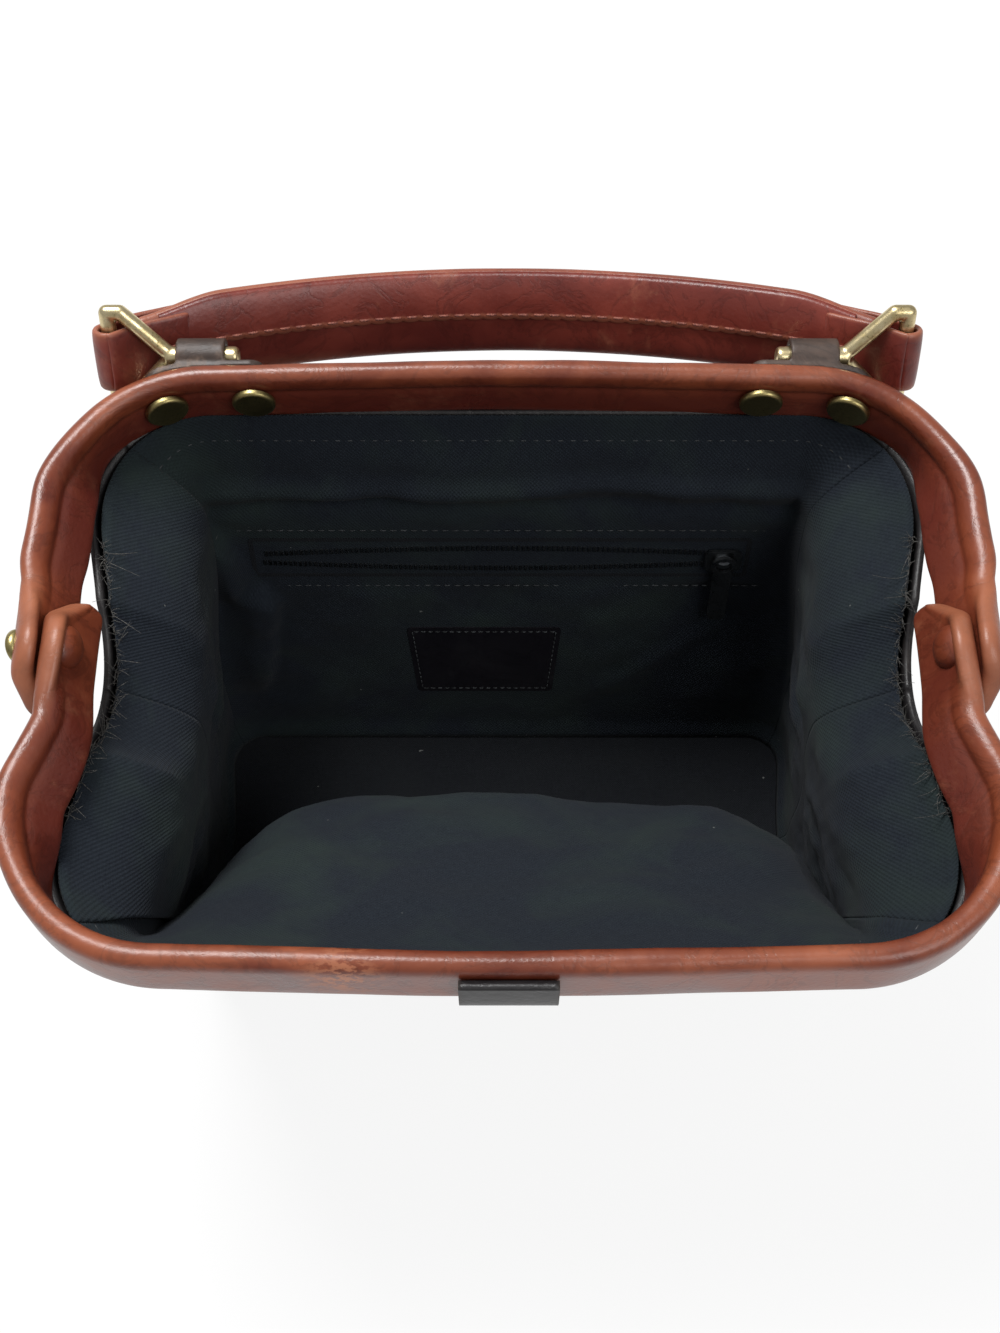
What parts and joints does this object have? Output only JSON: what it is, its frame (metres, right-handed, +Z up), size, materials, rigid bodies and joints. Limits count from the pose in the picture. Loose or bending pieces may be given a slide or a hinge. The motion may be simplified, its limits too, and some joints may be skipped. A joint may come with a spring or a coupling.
{
  "type": "top handle satchel",
  "caption": "Small satchel with a leather-covered hinged frame that opens wide, a top handle on brass rings and a lined inside with a zip pocket.",
  "frame": {"origin": "centre of the base's flat underside", "axes": "+X across the bag's width to the right, +Y from the front to the side that carries the handle, +Z up"},
  "size_m": [0.2466, 0.2111, 0.1664],
  "materials": {
    "tan_leather": "waxed, worn at the edges",
    "oxblood_leather": "burnished",
    "black_leather": "satin",
    "lining_fabric": "plain weave",
    "brass": "aged",
    "dark_metal": "blackened",
    "frame_steel": "plain",
    "board": "stiff fibre board",
    "filler": "twisted cotton"
  },
  "bodies": {
    "bag": {"front_panel": "black_leather", "back_panel": "black_leather", "left_gusset": "black_leather", "right_gusset": "black_leather", "base_panel": "black_leather", "base_board": "board", "lining_front": "lining_fabric", "lining_back": "lining_fabric", "lining_left": "lining_fabric", "lining_right": "lining_fabric", "lining_floor": "lining_fabric", "zip_pocket": "lining_fabric", "zip_welt": "lining_fabric", "zip_tape_upper": "lining_fabric", "zip_tape_lower": "lining_fabric", "zip_teeth_upper": "dark_metal", "zip_teeth_lower": "dark_metal", "label_patch": "black_leather"},
    "back_frame": {"back_frame_cover": "tan_leather", "back_frame_steel": "frame_steel", "hinge_rivet_right": "brass", "hinge_rivet_left": "brass", "hinge_button_right": "tan_leather", "hinge_button_left": "tan_leather", "chape_rivets": "brass", "chape_right": "black_leather", "chape_left": "black_leather"},
    "front_frame": {"front_frame_cover": "tan_leather", "front_frame_steel": "frame_steel", "front_tab": "black_leather"},
    "handle": {"ring_right": "brass", "ring_left": "brass", "handle_leather": "oxblood_leather", "handle_core": "filler", "handle_loop_right": "oxblood_leather", "handle_loop_left": "oxblood_leather"},
    "zip_slider": {"zip_slider": "dark_metal"},
    "zip_pull": {"zip_pull": "dark_metal"}
  },
  "joints": [
    {"name": "back_frame_hinge", "type": "hinge", "parent": "bag", "child": "back_frame", "pos_m": [0, 0, 0.155], "axis": [1, 0, 0], "range_deg": [0, 86.5]},
    {"name": "front_frame_hinge", "type": "hinge", "parent": "bag", "child": "front_frame", "pos_m": [0, 0, 0.155], "axis": [-1, 0, 0], "range_deg": [0, 86.5]},
    {"name": "handle_swing", "type": "hinge", "parent": "back_frame", "child": "handle", "pos_m": [0, 0.0866, 0.15348], "axis": [1, 0, 0], "range_deg": [0, 65]},
    {"name": "zip_slide", "type": "slide", "parent": "bag", "child": "zip_slider", "axis": [-1, 0, 0], "range_m": [0, 0.13]},
    {"name": "pull_swing", "type": "hinge", "parent": "zip_slider", "child": "zip_pull", "pos_m": [0.0644, 0.0569, 0.0909], "axis": [0, -0.9725, 0.233], "range_deg": [-60, 60]}
  ]
}
